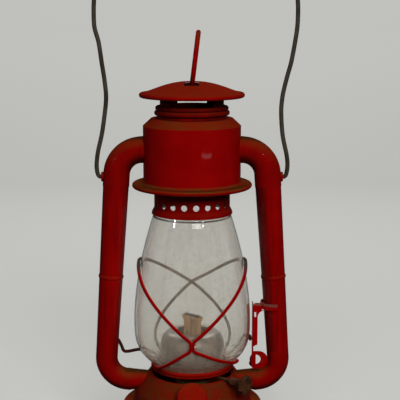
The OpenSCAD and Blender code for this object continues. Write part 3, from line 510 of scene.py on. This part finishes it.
def aged_brass(name, clean, stained, rough, metal, seam=0.0, varnish=0.0):
    """Brass with stains and upright streaks, and with a share of seam and of varnish."""
    finish = Finish(name)
    stains = finish.noise(scale=120.0, detail=6.0, rough=0.65)
    streaks = finish.noise(scale=240.0, detail=3.0, rough=0.6, stretch=(1, 1, 0.15))
    tarnish = finish.total(finish.times(stains, 0.6), finish.times(streaks, 0.45))
    colour = finish.mix(finish.ramp(tarnish, 0.35, 0.70), clean, stained)
    across = finish.dot(finish.place, WICK_ACROSS)
    split = finish.times(finish.band(across, middle=0.4 * MM, half=0.25 * MM, soft=0.3 * MM), seam)
    colour = finish.mix(split, colour, SEAM_BROWN)
    return finish.set(Base_Color=colour, Metallic=metal, Roughness=rough, Coat_Weight=varnish,
                      Coat_Roughness=0.12, Normal=finish.bump(streaks, 0.15, 0.1 * MM))


wire_finish = bare_wire()
rust_finish = rusty_steel()
brass = aged_brass("aged_brass", clean=rgb(0.30, 0.160, 0.060), stained=rgb(0.17, 0.080, 0.025),
                   rough=0.5, metal=0.2)
seamed_brass = aged_brass("seamed_brass", clean=rgb(0.30, 0.155, 0.055), stained=rgb(0.15, 0.068, 0.022),
                          rough=0.55, metal=0.1, seam=0.9)
sooty_brass = aged_brass("sooty_brass", clean=rgb(0.160, 0.118, 0.090), stained=rgb(0.046, 0.033, 0.025),
                         rough=0.40, metal=0.20, varnish=0.5)
print("metals:", wire_finish.name, rust_finish.name, brass.name, seamed_brass.name, sooty_brass.name)

# %% [markdown]
# The globe is blown glass of real thickness, so a plain glass shader bends the light as it should. What
# makes it look old is a thin film of warm dust with specks and runs in it. The film is a second, rough
# shader mixed over the glass by noise, and it thickens where the glass is seen edge on, as a real film
# does. A dark line is painted round the front half below the collar: painted shade, where the collar's
# edge shows dark through the glass. A few specks are burnt. Lamp light is let through, or the burner inside
# would stand in the dark.

# %% Glass
# Height of the line of painted shade below the collar
COLLAR_EDGE_SHADE_Z = 193.6 * MM
DUSTY_BELOW_Z = 96 * MM
DUSTIEST_Z = 70 * MM
GLASS_TINT = rgb(0.945, 0.938, 0.915)
GLASS_SHADOW = rgb(0.96, 0.96, 0.95)
GLASS_DUST = rgb(0.42, 0.365, 0.29)
# Burnt specks, and the line of painted shade below the collar
BURNT_AND_SHADE_BROWN = rgb(0.035, 0.025, 0.016)


def dust_on_glass(finish, film, height):
    """The share of the glass that dust hides: clouds, runs, grain and specks, more at its edge and foot."""
    runs = finish.ramp(finish.noise(scale=190.0, rough=0.6, stretch=(1, 1, 0.06)), 0.45, 0.75)
    fine = finish.ramp(finish.noise(scale=260.0, detail=5.0, rough=0.7), 0.40, 0.70)
    specks = finish.ramp(finish.noise(scale=620.0, detail=3.0, rough=0.7), 0.66, 0.74)
    edge = finish.ramp(finish.add("LayerWeight", {"Blend": 0.5}).outputs["Facing"], 0.45, 1.0)
    clouds = finish.ramp(film, 0.30, 0.80, 0.03, 0.11)
    rim = finish.times(edge, finish.ramp(runs, 0.0, 1.0, 0.10, 0.30))
    foot = finish.times(finish.ramp(height, DUSTY_BELOW_Z, DUSTIEST_Z), 0.16)
    return finish.total(clouds, finish.times(runs, 0.05), finish.times(fine, 0.05), rim,
                        finish.times(specks, 0.16), foot)


def collar_edge_shade(finish, film, height):
    """Painted shade: a thin broken dark line round the front half of the glass, below the collar."""
    line = finish.band(height, COLLAR_EDGE_SHADE_Z, half=0.25 * MM, soft=0.35 * MM)
    front = finish.ramp(finish.axis(finish.place, "Y"), 5 * MM, -5 * MM)
    return finish.times(finish.times(line, front), finish.ramp(film, 0.25, 0.55, 0.45, 0.9))


def old_glass():
    finish = Finish("old_glass")
    finish.set(Base_Color=GLASS_TINT, Roughness=0.0, IOR=1.46, Transmission_Weight=1.0)
    film = finish.noise(scale=45.0, detail=5.0, rough=0.6, stretch=(1, 1, 0.35))
    height = finish.axis(finish.place, "Z")
    # The line is painted shade below the collar, and the dust shader carries it too; the burnt specks are
    # dirt
    line = collar_edge_shade(finish, film, height)
    burnt = finish.ramp(finish.noise(scale=210.0, detail=5.0, rough=0.75), 0.675, 0.70)
    dirt_and_shade = finish.mix(finish.math("MAXIMUM", line, burnt), GLASS_DUST, BURNT_AND_SHADE_BROWN)
    dust = finish.add("BsdfDiffuse", {"Color": dirt_and_shade}).outputs[0]
    clear = finish.add("BsdfTransparent", {"Color": GLASS_SHADOW}).outputs[0]
    ray = finish.add("LightPath").outputs["Is Shadow Ray"]
    body = finish.add("MixShader", {0: ray, 1: finish.shader.outputs[0], 2: clear}).outputs[0]
    marks_and_shade = finish.math("MAXIMUM", line, finish.times(burnt, 0.55))
    share = finish.math("MAXIMUM", dust_on_glass(finish, film, height), marks_and_shade)
    finish.feed(finish.surface, finish.add("MixShader", {0: share, 1: body, 2: dust}).outputs[0])
    return finish.material


glass = old_glass()
print("glass nodes:", len(glass.node_tree.nodes))

# %% [markdown]
# The wick is woven cotton, charred black where it burns, and the filler cap seals on a cork ring. A wave
# gives the weave and cells give the crumbs of the cork.

# %% Cotton and cork
COTTON_SHADE = rgb(0.55, 0.49, 0.37)
COTTON = rgb(0.72, 0.66, 0.53)
CHAR_BLACK = rgb(0.022, 0.019, 0.016)
CHAR_STARTS_Z = 100 * MM
BLACK_Z = 106.5 * MM
CORK_DARK = rgb(0.20, 0.11, 0.05)
CORK_LIGHT = rgb(0.42, 0.27, 0.14)


def wick_cotton():
    finish = Finish("wick_cotton")
    values = {"Vector": finish.place, "Scale": 420.0, "Distortion": 1.5}
    weave = finish.add("TexWave", values).outputs["Fac"]
    char = finish.ramp(finish.axis(finish.place, "Z"), CHAR_STARTS_Z, BLACK_Z)
    colour = finish.mix(weave, COTTON_SHADE, COTTON)
    colour = finish.mix(char, colour, CHAR_BLACK)
    return finish.set(Base_Color=colour, Roughness=0.95, Normal=finish.bump(weave, 0.6, 0.3 * MM))


def gasket_cork():
    finish = Finish("cork")
    crumbs = finish.cells(scale=1400.0)
    colour = finish.mix(crumbs, CORK_DARK, CORK_LIGHT)
    return finish.set(Base_Color=colour, Roughness=0.9, Normal=finish.bump(crumbs, 0.5, 0.2 * MM))


cotton = wick_cotton()
cork = gasket_cork()
print("soft finishes:", cotton.name, cork.name)

# %% [markdown]
# Every node of the CAD model carries the name of its material in the record, which picks its finish.
# Some pieces have a finish of their own, because dust, soot, rubbing and painted shade differ from place
# to place.

# %% Give every CAD node its finish
FINISHES = {
    "aged_brass": brass,
    "bare_wire": wire_finish,
    "clear_glass": glass,
    "cork": cork,
    "red_enamel": enamel,
    "rusty_steel": rust_finish,
    "sooty_brass": sooty_brass,
    "wick_cotton": cotton,
}
SPECIAL = {
    "bail_ears": enamel_elbow,
    "burner_collar": rust_finish,
    "canopy_brim": enamel_brim,
    "canopy_drum": enamel_drum,
    "chimney_tube": enamel_throat,
    "filler_cap": enamel_cap,
    "fount_body": enamel_fount,
    "fount_dome": enamel_fount,
    "globe_collar": enamel_collar,
    "guard_ring": enamel_cap,
    "hood_cap": enamel_hood,
    "hood_straps": enamel_throat,
    "hood_throat": enamel_throat,
    "lift_lever": enamel_lever,
    "lift_loop": enamel_lever,
    "lifting_ring": enamel_cap,
    "lower_elbow_left": enamel_elbow,
    "lower_elbow_right": enamel_elbow,
    "side_tube_left": enamel_tube_left,
    "side_tube_right": enamel_tube_right,
    "upper_elbow_left": enamel_elbow,
    "upper_elbow_right": enamel_elbow,
}


def dress(piece, finish):
    piece.data.materials.clear()
    piece.data.materials.append(finish)


for row in frame["record"]["subparts"]:
    node = cad_nodes[row["node"]]
    dress(node, SPECIAL.get(row["node"], FINISHES[row["material_slot"]]))
    node.data.shade_smooth()

# %% [markdown]
# Wires: the guard round the glass, the wires that tie it to the tubes, and the bail.
# In the CAD model they are sticks with 8 or 12 flat sides, which is enough to touch and collide. Up close a
# wire is round, so each is swept again here along the same line with more sides and a smooth curve through
# its points. A ring of points at each step is joined to the next one, and two smaller rings dome each end.

# %% Sweep a round wire along a line
# The place of each ring of a domed end along the wire and its width, in shares of the wire's radius
DOMED_END = ((-0.8, 0.6), (-0.45, 0.89))


def smooth_line(points, steps):
    """A curve through the points, with some steps between each two."""
    line = []
    for i in range(len(points) - 1):
        a, b, c, d = (points[min(max(i + k, 0), len(points) - 1)] for k in (-1, 0, 1, 2))
        for k in range(steps):
            t = k / steps
            line.append(0.5 * (2 * b + (c - a) * t + (2 * a - 5 * b + 4 * c - d) * t * t
                               + (3 * b - a - 3 * c + d) * t ** 3))
    return line + [points[-1]]


def add_piece(name, mesh, finish, body, node):
    """A piece from a bmesh that rides on a body and stands for a CAD node, which it hides."""
    data = bpy.data.meshes.new(name)
    mesh.to_mesh(data)
    mesh.free()
    data.materials.append(finish)
    data.shade_smooth()
    piece = bpy.data.objects.new(name, data)
    scene.collection.objects.link(piece)
    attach(piece, body)
    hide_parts(node)
    return piece


def round_wire(line, radius, sides=16):
    """A closed tube along the line with domed ends, as a bmesh."""
    mesh = bmesh.new()
    last = len(line) - 1
    side = None
    rings = []
    turns = [2 * math.pi * k / sides for k in range(sides)]
    stations = [(0, along, share) for along, share in DOMED_END] + [(i, 0, 1) for i in range(last + 1)]
    stations += [(last, -along, share) for along, share in reversed(DOMED_END)]
    for i, along, share in stations:
        ahead = (line[min(i + 1, last)] - line[max(i - 1, 0)]).normalized()
        side = side or ahead.orthogonal().normalized()
        side = (side - ahead * side.dot(ahead)).normalized()
        other = ahead.cross(side)
        middle = line[i] + ahead * along * radius
        rings.append([mesh.verts.new(middle + share * radius * (math.cos(a) * side + math.sin(a) * other))
                      for a in turns])
    for low_ring, high_ring in zip(rings, rings[1:]):
        for k in range(sides):
            n = (k + 1) % sides
            mesh.faces.new((low_ring[k], low_ring[n], high_ring[n], high_ring[k]))
    mesh.faces.new(list(reversed(rings[0])))
    mesh.faces.new(rings[-1])
    return mesh


print("wire helpers ready")

# %% [markdown]
# The guard wires lie on the glass, so their line is given by a turn round the lantern and a height, and the
# globe's own outline gives the rest. The numbers of the outline are those of the CAD model, measured from
# the globe's box. Turns are in degrees from the front.

# %% Lines on the glass
globe_low, globe_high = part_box("globe")
BELLY_R = globe_high.x
BELLY_Z = globe_low.z + 41 * MM
LIP_Z = globe_high.z - 2 * MM
LIP_R = 32.0 * MM
NECK_R = 31.2 * MM
FOOT_R = NECK_R + 2.8 * MM
FOOT_Z = globe_low.z + 4.2 * MM
SHOULDER_CURVE = 1.75
FOOT_CURVE = 3.5
GUARD_WIRE = 1.4 * MM
WIRE_GAP = 0.25 * MM
OFF_GLASS = GUARD_WIRE + WIRE_GAP
WIRE_END_Z = FOOT_Z + 0.75 * MM


def globe_radius(z):
    if z > BELLY_Z:
        return BELLY_R - (BELLY_R - LIP_R) * ((z - BELLY_Z) / (LIP_Z - BELLY_Z)) ** SHOULDER_CURVE
    return BELLY_R - (BELLY_R - FOOT_R) * ((BELLY_Z - z) / (BELLY_Z - FOOT_Z)) ** FOOT_CURVE


def on_glass(turn, z, lift=0.0):
    """The middle of a wire on the glass at a turn and a height."""
    step = 0.1 * MM
    outward = Vector((2 * step, globe_radius(z - step) - globe_radius(z + step))).normalized()
    r = globe_radius(z) + (OFF_GLASS + lift) * outward.x
    a = math.radians(turn)
    return Vector((r * math.sin(a), -r * math.cos(a), z + (OFF_GLASS + lift) * outward.y))


print("globe: belly radius", round(BELLY_R / MM, 1), "mm at", round(BELLY_Z / MM, 1), "mm")

# %% [markdown]
# Each guard wire starts at the foot of the glass, meets its twin in front, parts from it again and climbs
# to the side. From there it falls behind the glass, crosses its twin and ends at the foot on the other
# side. Where the two cross, the right one bows out over the left one. The front end of the right wire runs
# on into a small hook.

# %% Guard wires
FRONT_Z = 99 * MM
BACK_Z = 122 * MM
SIDE_Z = 154 * MM
TIE = 7 * MM
TIE_GAP = 0.05 * MM
FALL_CURVE = 1.5
RISE_CURVE = 1.3
CROSSING_HALF = 22
BACK_TURN = 52
LEFT_FOOT_TURN = 55
RIGHT_FOOT_TURN = 68
RIGHT_FOOT_Z = WIRE_END_Z + 4 * MM
RIGHT_HOOK = [(80, WIRE_END_Z), (75, WIRE_END_Z + 2.5 * MM)]
WIRE_STEPS = 3


def meeting_turn(z):
    return math.degrees(math.asin((GUARD_WIRE + TIE_GAP) / (globe_radius(z) + GUARD_WIRE)))


def falling(z0, z1, turn, steps=10):
    """From the foot of the glass up to where two wires meet."""
    m = meeting_turn(z0)
    return [(m + (turn - m) * k / steps, z1 + (z0 - z1) * (1 - k / steps) ** FALL_CURVE)
            for k in range(steps, 0, -1)]


def rising(z0, steps=14):
    """From where two wires meet in front up to the side of the glass."""
    m = meeting_turn(z0)
    return [(m + (90 - m) * k / steps, z0 + (SIDE_Z - z0) * (1 - (1 - k / steps) ** RISE_CURVE))
            for k in range(steps + 1)]


def over_side(z0, steps=18):
    """From the side round to the crossing behind the glass."""
    return [(90 + 90 * k / steps, z0 + (SIDE_Z - z0) * math.cos(math.pi / 2 * k / steps))
            for k in range(1, steps + 1)]


def past_back(z0, turn, steps=14):
    """From the crossing down to the foot of the glass."""
    shares = [1 - k / steps for k in range(1, steps + 1)]
    return [(180 + turn * (1 - left ** FALL_CURVE), WIRE_END_Z + (z0 - WIRE_END_Z) * left)
            for left in shares]


def crossing_lift(turn):
    away = abs(turn - 180) / CROSSING_HALF
    return (2 * GUARD_WIRE + WIRE_GAP) * math.cos(math.pi / 2 * away) ** 2 if away < 1 else 0.0


def guard_line(side, front_turn, front_end_z, tail=(), over=0):
    """One guard wire from its front end to its back end, on the left (-1) or right (1)."""
    front_low = FRONT_Z - TIE
    line = list(tail) + falling(front_low, front_end_z, front_turn) + [(meeting_turn(front_low), front_low)]
    line += rising(FRONT_Z) + over_side(BACK_Z) + past_back(BACK_Z, BACK_TURN)
    return [on_glass(side * turn, z, over * crossing_lift(turn)) for turn, z in line]


def carriage_wire(node, line, finish):
    mesh = round_wire(smooth_line(line, WIRE_STEPS), GUARD_WIRE)
    return add_piece(node + "_round", mesh, finish, "globe_carriage", node)


carriage_wire("guard_wire_left", guard_line(-1, LEFT_FOOT_TURN, WIRE_END_Z), enamel_wire)
right_line = guard_line(1, RIGHT_FOOT_TURN, RIGHT_FOOT_Z, tail=RIGHT_HOOK, over=1)
carriage_wire("guard_wire_right", right_line, enamel_wire)

# %% [markdown]
# A wire leaves the guard on the left and hooks behind the tube, which keeps the globe straight as it rises.
# On the right a shorter wire ties the guard to the lift lever. Both keep the points of the CAD model. The
# points of the hook are counted in millimetres from the middle of the tube.

# %% Guide wire and lift arm
TUBE_AT = Vector((62.55, 228.47)) * MM
SPLAY = math.radians(3.9)
HOOK_Z = 82 * MM
RUN_Z = 73.7 * MM
RUN_AT = (46 * MM, 7 * MM)
HOOK_PLACES = [(-15, 1, -8.0), (-11.4, 5.5, -4.3), (-7.9, 9.6, 0), (-2.4, 12, 1), (3.6, 11, 1.4),
               (7.8, 8.8, 1.4)]
GUIDE_FOOT = [(110, WIRE_END_Z), (104, WIRE_END_Z + 4 * MM)]
ARM_Z = 85.3 * MM
ARM_TURN = 112
ARM_STEPS = 8
ARM_END_Y = (8 * MM, 0)
LEVER_GAP = 2 * MM


def tube_x(z):
    """How far out the middle of a side tube is at a height."""
    return TUBE_AT.x + (TUBE_AT.y - z) * math.tan(SPLAY)


hook_x = tube_x(HOOK_Z)
guide = [on_glass(turn, z) for turn, z in GUIDE_FOOT] + [Vector((*RUN_AT, RUN_Z))]
guide += [Vector((hook_x + x * MM, y * MM, HOOK_Z + z * MM)) for x, y, z in HOOK_PLACES]
guide_line = [Vector((-p.x, p.y, p.z)) for p in smooth_line(guide, WIRE_STEPS)]
carriage_wire("guide_wire", guide_line, enamel_tie)

beside_lever = BELLY_R + LEVER_GAP - OFF_GLASS
arm_rise = [math.sin(math.pi / 2 * k / ARM_STEPS) for k in range(ARM_STEPS + 1)]
arm = [on_glass(ARM_TURN - k, WIRE_END_Z + (ARM_Z - WIRE_END_Z) * share) for k, share in enumerate(arm_rise)]
arm += [Vector((beside_lever, y, ARM_Z)) for y in ARM_END_Y]
carriage_wire("lift_arm", arm, enamel_tie)
print("guide wire hooks behind the tube at", round(hook_x / MM, 1), "mm")

# %% [markdown]
# The bail is one length of bare wire, bent by hand: it leaves each ear, waists in above the elbows, and
# closes in a wide arch that leans a little to the right. Its two arms differ, as they do on a bail that has
# been pulled about. Its ends turn in to make the pivots, which stay pins inside the ears. The points of an
# arm are counted in millimetres out from its pivot and up.

# %% Bail
EAR_OUT = 1.4 * MM
PIVOT_Z = 226 * MM
BAIL_WIRE = 1.8 * MM
ARCH_RISE = 94 * MM
ARCH_STEP = 3
STRAIGHTEN = 12 * MM
STRAIGHTEN_IN = 0.4 * MM
BAIL_STEPS = 6
PIN = (-1.2, 0, 1.8)
RIGHT_ARM = [(2.6, 0), (4.3, 2.2), (5.2, 9), (4.4, 18), (0.8, 35), (-0.6, 53), (0.1, 65), (2, 75),
             (4.5, 85), (6.9, 94), (9.4, 108)]
LEFT_ARM = [(2.6, 0), (4.3, 2.2), (5.2, 9), (4, 20), (0.5, 35), (-1.8, 49), (-3.6, 65), (-2.6, 79),
            (-0.5, 94), (1.7, 110)]
bail_low, bail_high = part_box("bail")
bail_lean = (bail_high.x + bail_low.x) / 2
bail_half = (bail_high.x - bail_low.x) / 2 - BAIL_WIRE
arch_z = bail_high.z - BAIL_WIRE - ARCH_RISE
pivot = Vector((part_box("bail_ears")[1].x - EAR_OUT, 0, PIVOT_Z))


def bail_arm(places, out):
    """One arm from its pivot up to the arch, as if it were the right one."""
    pin = [pivot + Vector((x, 0, 0)) * MM for x in PIN]
    arm = [pivot + Vector((x, 0, z)) * MM for x, z in places]
    arm += [Vector((out - STRAIGHTEN_IN, 0, arch_z - STRAIGHTEN)), Vector((out, 0, arch_z))]
    return pin + smooth_line(arm, BAIL_STEPS)


arch = [Vector((bail_lean + bail_half * math.cos(a), 0, arch_z + ARCH_RISE * math.sin(a)))
        for a in (math.radians(turn) for turn in range(ARCH_STEP, 180, ARCH_STEP))]
right = bail_arm(RIGHT_ARM, bail_half + bail_lean)
left = [Vector((-p.x, p.y, p.z)) for p in reversed(bail_arm(LEFT_ARM, bail_half - bail_lean))]
bail_mesh = round_wire(right + arch + left, BAIL_WIRE)
add_piece("bail_round", bail_mesh, wire_finish, "bail", "bail")
print("bail: half width", round(bail_half / MM, 1), "mm, lean", round(bail_lean / MM, 1), "mm")

# %% [markdown]
# The hood's spring is pressed together when the globe or the hood rises. A coil of one piece would follow
# only one of the two joints, so it is made of two in line: the upper half stands in the drum, and the lower
# half rides up with the globe.

# %% Hood spring
SPRING_WIRE = 0.7 * MM
SPRING_SIDES = 10
HALF_TURNS = 3
STEPS_A_TURN = 24
spring_low, spring_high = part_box("hood_spring")
spring_r = spring_high.x - SPRING_WIRE
spring_foot = spring_low.z + SPRING_WIRE
spring_top = spring_high.z - SPRING_WIRE
spring_middle = (spring_foot + spring_top) / 2


def half_spring(name, low, high, body):
    """A coil between two heights, riding on a body, that stands for the CAD spring."""
    count = HALF_TURNS * STEPS_A_TURN
    turns = [(2 * math.pi * k / STEPS_A_TURN, k / count) for k in range(count + 1)]
    line = [Vector((spring_r * math.cos(a), spring_r * math.sin(a), low + (high - low) * share))
            for a, share in turns]
    mesh = round_wire(line, SPRING_WIRE, SPRING_SIDES)
    piece = add_piece(name, mesh, wire_finish, body, "hood_spring")
    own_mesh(piece)


half_spring("hood_spring_upper", spring_middle, spring_top, "frame")
half_spring("hood_spring_lower", spring_foot, spring_middle, "globe_carriage")
print("spring: two halves of", round((spring_top - spring_middle) / MM, 1), "mm")

# %% [markdown]
# The knob that winds the wick has rusted into a lump. A voxel remesh turns the CAD knob into an even skin,
# and a displacement by a cloud texture swells and pits it. It is a copy, because a CAD mesh is never
# changed.

# %% Rusty knob
KNOB_VOXEL = 0.35 * MM
KNOB_LUMP = 2.4 * MM
KNOB_SWELL = 2.2 * MM
KNOB_MIDDLE = 0.3


def rusted(node, body):
    """A copy of a CAD node with a lumpy skin, unmoved where the cloud texture has its middle level."""
    mesh = bmesh.new()
    mesh.from_mesh(cad_nodes[node].data)
    piece = add_piece(node + "_rusted", mesh, rust_finish, body, node)
    skin = piece.modifiers.new("skin", "REMESH")
    skin.mode = "VOXEL"
    skin.voxel_size = KNOB_VOXEL
    skin.use_smooth_shade = True
    lumps = piece.modifiers.new("lumps", "DISPLACE")
    lumps.texture = bpy.data.textures.new(node + "_lumps", "CLOUDS")
    lumps.texture.noise_scale = KNOB_LUMP
    lumps.strength = KNOB_SWELL
    lumps.mid_level = KNOB_MIDDLE


rusted("wick_knob", "wick_drive")
print("rusty knob: voxels of", KNOB_VOXEL / MM, "mm")

# %% [markdown]
# The wick tube's mouth is thin brass that heat and a pair of pliers have bent open. The CAD tube is copied,
# cut across a few times near its top so that there is something to bend, and flared with a slow wave round
# its lip.

# %% Flared wick tube
FLARE_DROP = 5.5 * MM
FLARE_CUTS = 6
FLARE = 0.26
FLARE_WAVE = 0.10
FLARE_WAVE_START = 0.6
LIP_WAVE = 0.7 * MM
LIP_WAVE_START = 2.0


def flared_tube(node, body):
    """A copy of a CAD tube that widens towards its top, by uneven amounts and to an uneven height."""
    mesh = bmesh.new()
    mesh.from_mesh(cad_nodes[node].data)
    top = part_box(node)[1].z
    for k in range(1, FLARE_CUTS + 1):
        cut = (0, 0, top - FLARE_DROP * k / FLARE_CUTS)
        bmesh.ops.bisect_plane(mesh, geom=mesh.verts[:] + mesh.edges[:] + mesh.faces[:], plane_co=cut,
                               plane_no=(0, 0, 1))
    for vertex in mesh.verts:
        rise = max(0.0, (vertex.co.z - top + FLARE_DROP) / FLARE_DROP)
        turn = math.atan2(vertex.co.y, vertex.co.x)
        open_by = 1 + rise ** 2 * (FLARE + FLARE_WAVE * math.sin(2 * turn + FLARE_WAVE_START))
        vertex.co.x *= open_by
        vertex.co.y *= open_by
        vertex.co.z += rise ** 2 * LIP_WAVE * math.sin(2 * turn + LIP_WAVE_START)
    add_piece(node + "_flared", mesh, seamed_brass, body, node)


flared_tube("wick_tube", "frame")
print("wick tube flared over", FLARE_DROP / MM, "mm")
